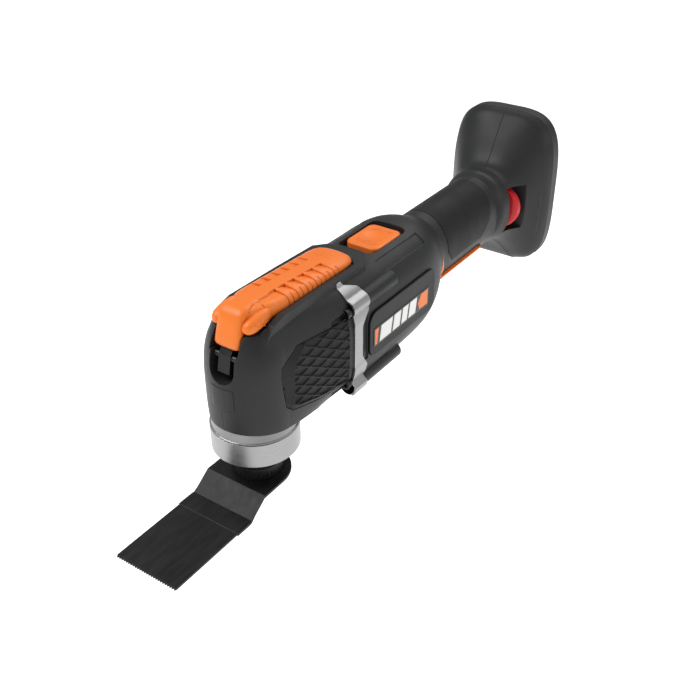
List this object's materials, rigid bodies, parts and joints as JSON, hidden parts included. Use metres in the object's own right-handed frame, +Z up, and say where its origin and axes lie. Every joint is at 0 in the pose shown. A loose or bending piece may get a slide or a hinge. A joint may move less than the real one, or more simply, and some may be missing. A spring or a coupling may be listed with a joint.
{
  "type": "oscillating multi tool",
  "caption": "Cordless oscillating multi tool with a lever-clamped cranked cutting blade, slide switch, speed wheel and battery foot, built as separate pieces with joints.",
  "frame": {"origin": "on the spindle's axis, at the seat that the accessory is clamped against", "axes": "+Z up along the spindle, -Y towards the blade tip, +Y towards the battery foot, +X to the side of the speed wheel"},
  "size_m": [0.0664, 0.329, 0.1149],
  "materials": {
    "housing_plastic": "fine moulded texture, satin",
    "panel_plastic": "smooth satin",
    "grip_rubber": "matte",
    "bright_aluminium": "satin brushed",
    "badge_print": "printed, white and orange on black",
    "orange_plastic": "satin gloss",
    "red_plastic": "satin gloss",
    "black_metal": "black oxide",
    "blade_steel": "black coated steel",
    "bright_steel": "ground",
    "dark_steel": "black zinc",
    "magnet_black": "sintered",
    "copper": "drawn copper",
    "inner_plastic": "moulded",
    "circuit_board": "solder mask"
  },
  "bodies": {
    "housing": {"badge_left": "badge_print", "badge_right": "badge_print", "battery_rail_plate": "inner_plastic", "battery_terminal_block": "inner_plastic", "battery_terminals": "copper", "body_housing_left": "housing_plastic", "body_housing_right": "housing_plastic", "carbon_brushes": "magnet_black", "control_board": "circuit_board", "dial_potentiometer": "inner_plastic", "gear_case": "bright_aluminium", "grip_pad_left": "grip_rubber", "grip_pad_right": "grip_rubber", "handle_grip_left": "grip_rubber", "handle_grip_right": "grip_rubber", "handle_underside_trim": "orange_plastic", "head_housing_left": "housing_plastic", "head_housing_right": "housing_plastic", "head_screws": "dark_steel", "lever_pin": "dark_steel", "motor_bearing_front": "bright_steel", "motor_bearing_rear": "bright_steel", "motor_can": "bright_steel", "motor_end_cap": "inner_plastic", "motor_magnets": "magnet_black", "motor_mount_plate": "bright_aluminium", "nose_inset_plate": "panel_plastic", "side_panel_left": "panel_plastic", "side_panel_right": "panel_plastic", "spindle_bearing_lower": "bright_steel", "spindle_bearing_upper": "bright_steel", "spindle_dust_seal": "grip_rubber", "switch_body": "inner_plastic", "trim_band_left": "bright_aluminium", "trim_band_right": "bright_aluminium"},
    "clamp_lever": {"clamp_lever": "orange_plastic", "lever_cam_arm": "black_metal"},
    "spindle": {"spindle": "bright_steel", "tool_holder": "black_metal", "oscillation_fork": "bright_steel", "clamp_jaws": "bright_steel"},
    "clamp_rod": {"clamp_rod": "bright_steel", "clamp_spring": "bright_steel"},
    "accessory": {"flange_bolt": "bright_steel", "blade_shank": "blade_steel", "blade_tooth_strip": "blade_steel"},
    "rotor": {"rotor_shaft": "bright_steel", "eccentric_bearing": "bright_steel", "counterweight": "bright_steel", "cooling_fan": "inner_plastic", "armature_core": "bright_steel", "armature_windings": "copper", "commutator": "copper"},
    "power_switch": {"switch_button": "orange_plastic", "switch_link": "inner_plastic"},
    "speed_dial": {"speed_dial": "red_plastic"}
  },
  "joints": [
    {"name": "clamp_lever_hinge", "type": "hinge", "parent": "housing", "child": "clamp_lever", "pos_m": [0, -0.015, 0.0695], "axis": [1, 0, 0], "range_deg": [0, 100]},
    {"name": "spindle_swing", "type": "hinge", "parent": "housing", "child": "spindle", "pos_m": [0, 0, 0.02], "axis": [0, 0, 1], "range_deg": [-1.6, 1.6]},
    {"name": "clamp_rod_slide", "type": "slide", "parent": "spindle", "child": "clamp_rod", "axis": [0, 0, -1], "range_m": [0, 0.0025], "deforming": ["clamp_spring"]},
    {"name": "accessory_removal", "type": "slide", "parent": "spindle", "child": "accessory", "axis": [0, 0, -1], "range_m": [0, 0.04]},
    {"name": "rotor_spin", "type": "hinge", "parent": "housing", "child": "rotor", "pos_m": [0, 0.07, 0.053], "axis": [0, 1, 0], "continuous": true},
    {"name": "switch_slide", "type": "slide", "parent": "housing", "child": "power_switch", "axis": [0, -1, 0], "range_m": [0, 0.006]},
    {"name": "speed_dial_turn", "type": "hinge", "parent": "housing", "child": "speed_dial", "pos_m": [0.0108, 0.222, 0.0545], "axis": [0, 1, 0], "range_deg": [-135, 135]}
  ],
  "couplings": [
    {"joint": "clamp_rod_slide", "follows": "clamp_lever_hinge", "m_per_rad": 0.00143}
  ]
}
